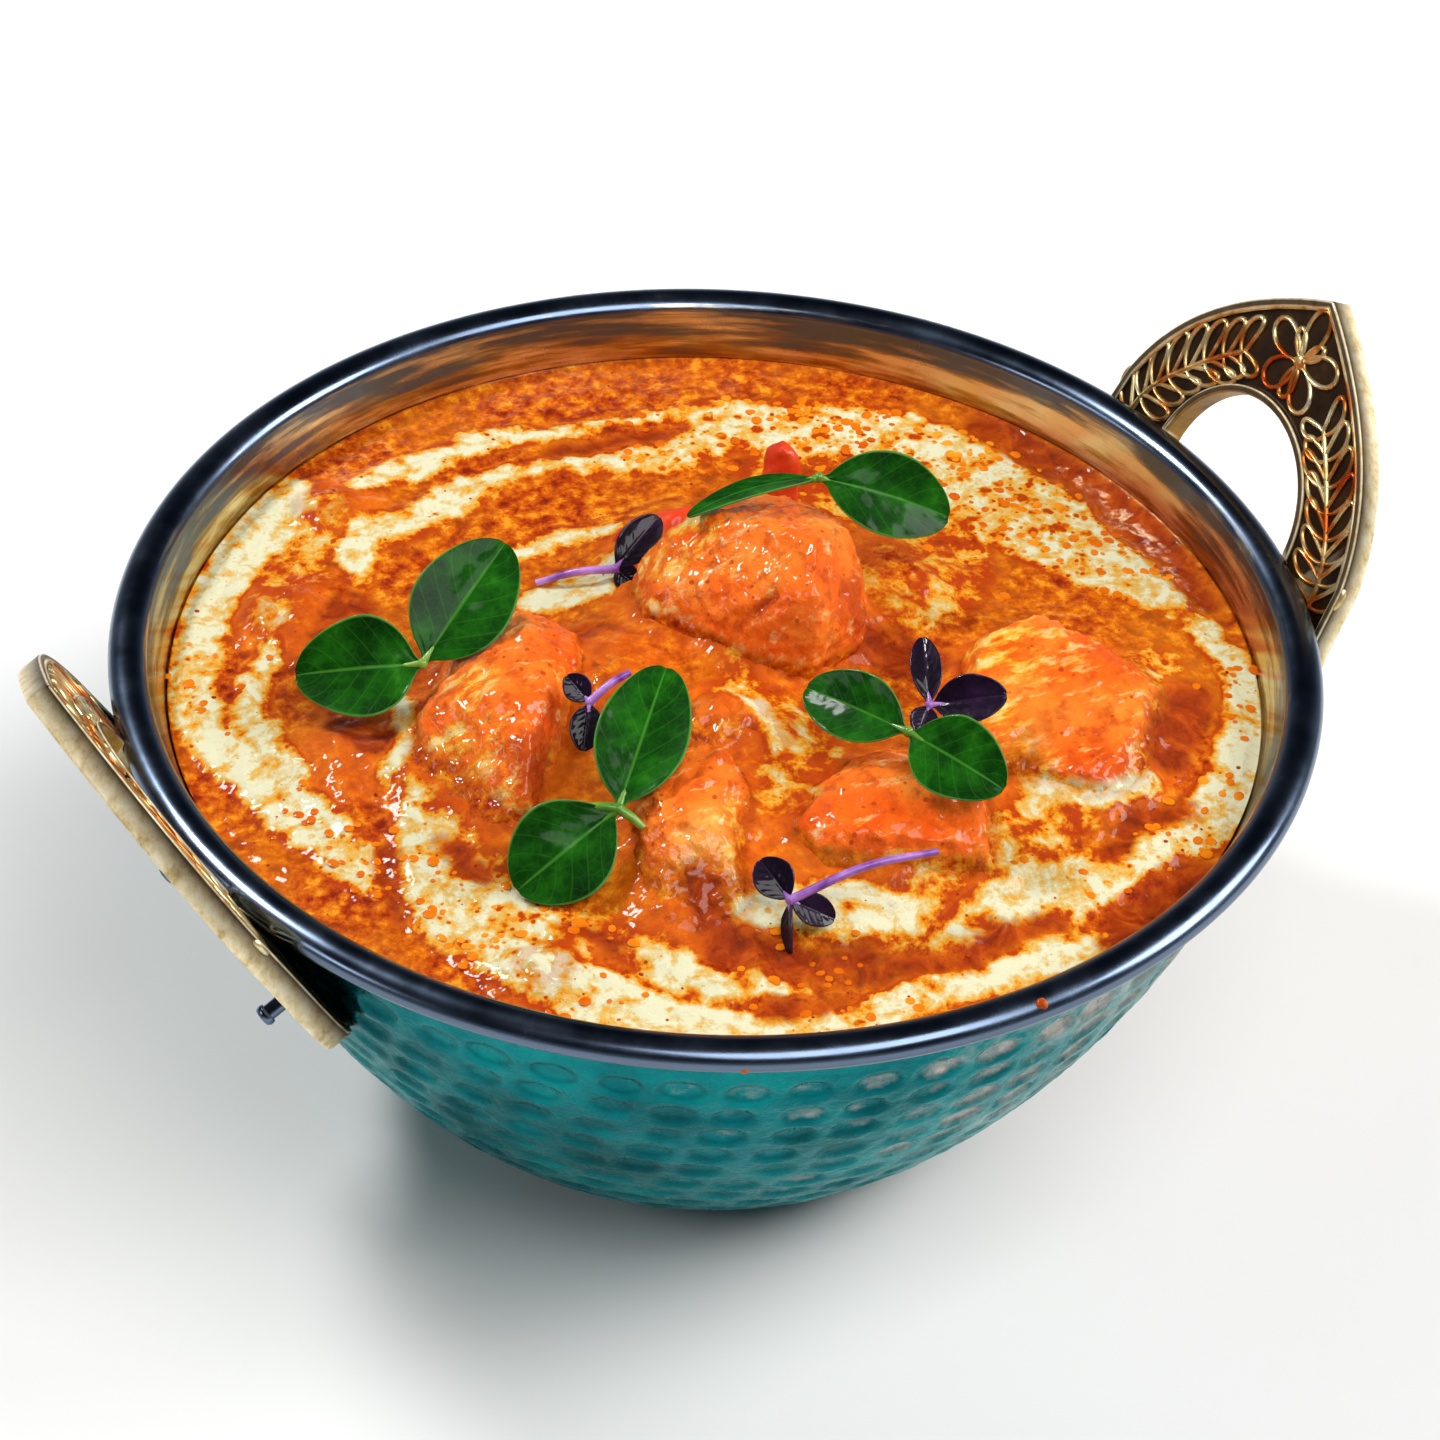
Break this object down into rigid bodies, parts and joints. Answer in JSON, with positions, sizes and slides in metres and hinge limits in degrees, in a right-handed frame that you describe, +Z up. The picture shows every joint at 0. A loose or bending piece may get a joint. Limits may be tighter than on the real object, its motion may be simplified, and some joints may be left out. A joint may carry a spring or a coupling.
{
  "type": "chicken curry in a serving bowl",
  "caption": "Chicken chunks in a creamy orange curry with leaf garnish, filling a round hammered metal serving bowl with a rolled steel rim and pierced brass plate handles.",
  "frame": {"origin": "middle of the flat foot the bowl stands on, on the bowl's axis", "axes": "+X through the middles of the two handles, +Z up along the bowl's axis"},
  "size_m": [0.1793, 0.1494, 0.0917],
  "materials": {
    "stainless_steel": "polished stainless steel",
    "hammered_metal": "hand-hammered metal with a glossy teal lacquer, rosy in the dimples",
    "cast_brass": "cast antique brass with darkened recesses and bright edges",
    "curry_sauce": "oily orange curry sauce with cream swirls",
    "coated_chicken": "chicken coated in glossy orange sauce",
    "red_pepper": "cooked red pepper skin",
    "green_leaf": "fresh satin leaf",
    "purple_leaf": "dark purple microgreen"
  },
  "bodies": {
    "root": {"hammered_shell": "hammered_metal", "steel_liner": "stainless_steel", "handle_right": "cast_brass", "handle_left": "cast_brass", "handle_right_rivet_1": "stainless_steel", "handle_right_rivet_2": "stainless_steel", "handle_left_rivet_1": "stainless_steel", "handle_left_rivet_2": "stainless_steel", "curry_sauce": "curry_sauce", "chicken_back": "coated_chicken", "chicken_left": "coated_chicken", "chicken_front": "coated_chicken", "chicken_front_right": "coated_chicken", "chicken_right": "coated_chicken", "chicken_middle": "coated_chicken", "chicken_inner": "coated_chicken", "chicken_back_right": "coated_chicken", "chicken_far_left": "coated_chicken", "chicken_near_left": "coated_chicken", "chicken_corner": "coated_chicken", "chicken_back_left": "coated_chicken", "red_pepper_tip": "red_pepper", "red_pepper_strip": "red_pepper", "leaf_sprig_left": "green_leaf", "leaf_sprig_back": "green_leaf", "leaf_sprig_front": "green_leaf", "leaf_sprig_right": "green_leaf", "microgreen_back": "purple_leaf", "microgreen_left": "purple_leaf", "microgreen_right": "purple_leaf", "microgreen_front": "purple_leaf"}
  },
  "joints": []
}
